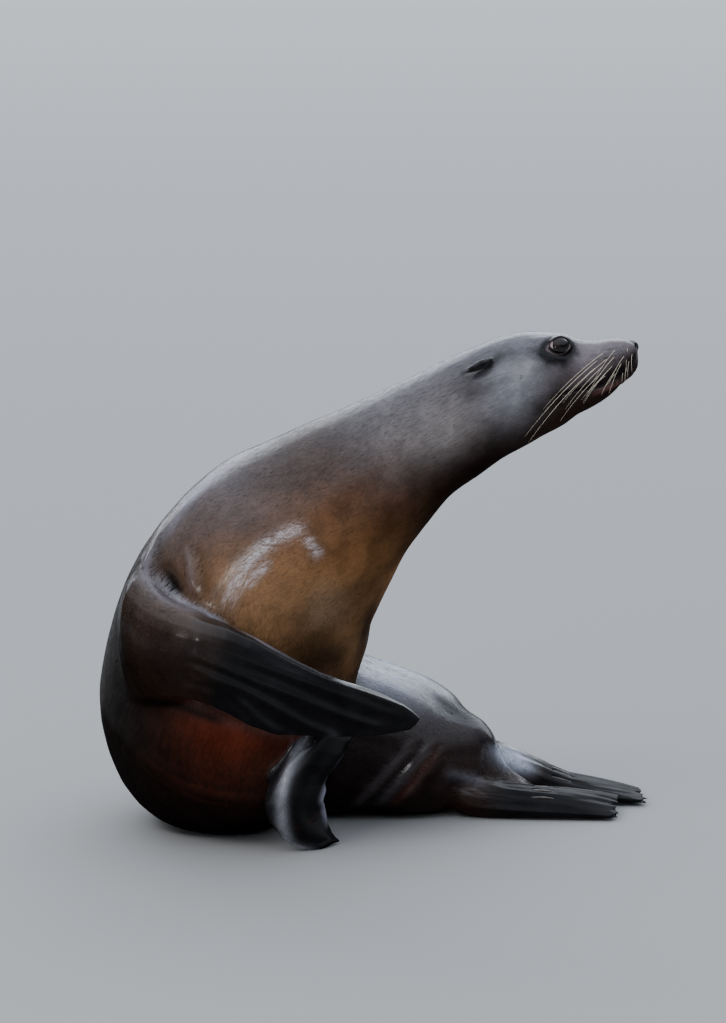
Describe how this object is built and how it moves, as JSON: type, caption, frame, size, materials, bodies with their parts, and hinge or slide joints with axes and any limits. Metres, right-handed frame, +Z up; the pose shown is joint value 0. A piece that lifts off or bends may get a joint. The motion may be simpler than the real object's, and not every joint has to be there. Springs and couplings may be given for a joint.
{
  "type": "sea lion",
  "caption": "Life-size sea lion sitting upright on dry ground, wet from the water, hindquarters curled round, neck stretched and head turned to one side.",
  "frame": {"origin": "on the floor, under the middle of the model's box", "axes": "+Z up; +X the way the muzzle points; -Y the side that the right cheek and the right foreflipper's outer face look to"},
  "size_m": [0.7276, 0.4952, 0.6698],
  "materials": {
    "fur": "wet short fur, dark brown, sleek with fine streaks",
    "flipper_skin": "wet near-black leathery skin",
    "nose_skin": "wet black pebbled skin",
    "eye": "dark, very glossy",
    "claw": "dark horn, satin"
  },
  "bodies": {
    "root": {"head": "fur", "neck": "fur", "shoulders": "fur", "chest": "fur", "belly": "fur", "loin": "fur", "rump": "fur", "tail": "fur", "ear_right": "fur", "ear_left": "fur", "foreflipper_right": "flipper_skin", "foreflipper_left": "flipper_skin", "hindflipper_right": "flipper_skin", "hindflipper_left": "flipper_skin", "nose": "nose_skin", "eye_right": "eye", "eye_left": "eye", "claw_left_1": "claw", "claw_left_2": "claw", "claw_left_3": "claw", "claw_right_1": "claw", "claw_right_2": "claw", "claw_right_3": "claw"}
  },
  "joints": []
}
